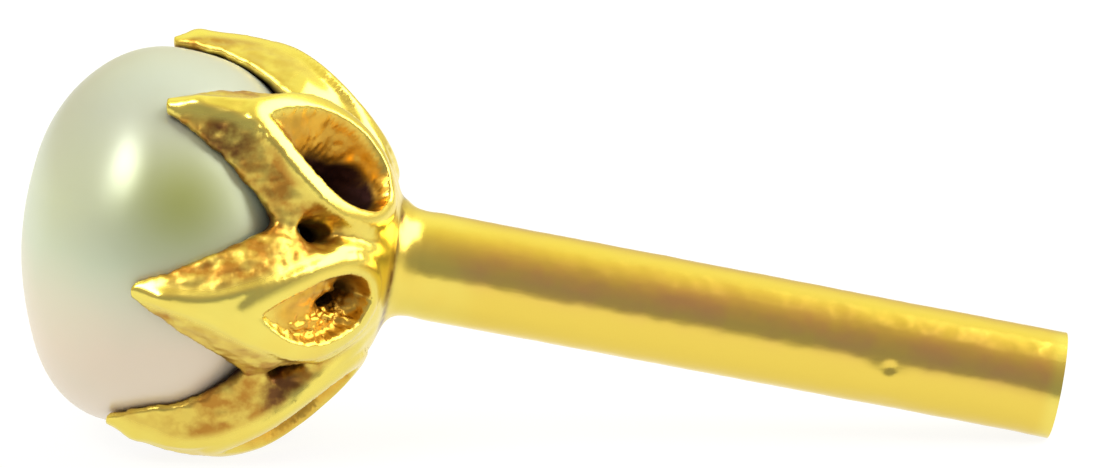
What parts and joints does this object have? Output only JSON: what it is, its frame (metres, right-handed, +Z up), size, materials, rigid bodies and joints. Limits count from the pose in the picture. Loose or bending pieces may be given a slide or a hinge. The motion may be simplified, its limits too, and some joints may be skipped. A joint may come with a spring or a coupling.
{
  "type": "nose stud",
  "caption": "Straight-post nose stud: a button pearl held in a pierced cup of bent-over leaf claws, soldered a little off centre to a plain round post with a flat end.",
  "frame": {"origin": "the middle of the box that the stud fills, at the level of the surface it lies on", "axes": "+X along the length, from the pearl to the end of the post; +Y across; +Z up from the surface"},
  "size_m": [0.0104, 0.0042, 0.0039],
  "materials": {
    "yellow_gold": "cast and hand-filed yellow gold, bright on the claw ridges and the post, rough and darker in the notches",
    "pearl_nacre": "smooth pale nacre with a soft lustre and a faint green and rose overtone"
  },
  "bodies": {
    "root": {"claw_setting": "yellow_gold", "pearl": "pearl_nacre"}
  },
  "joints": []
}
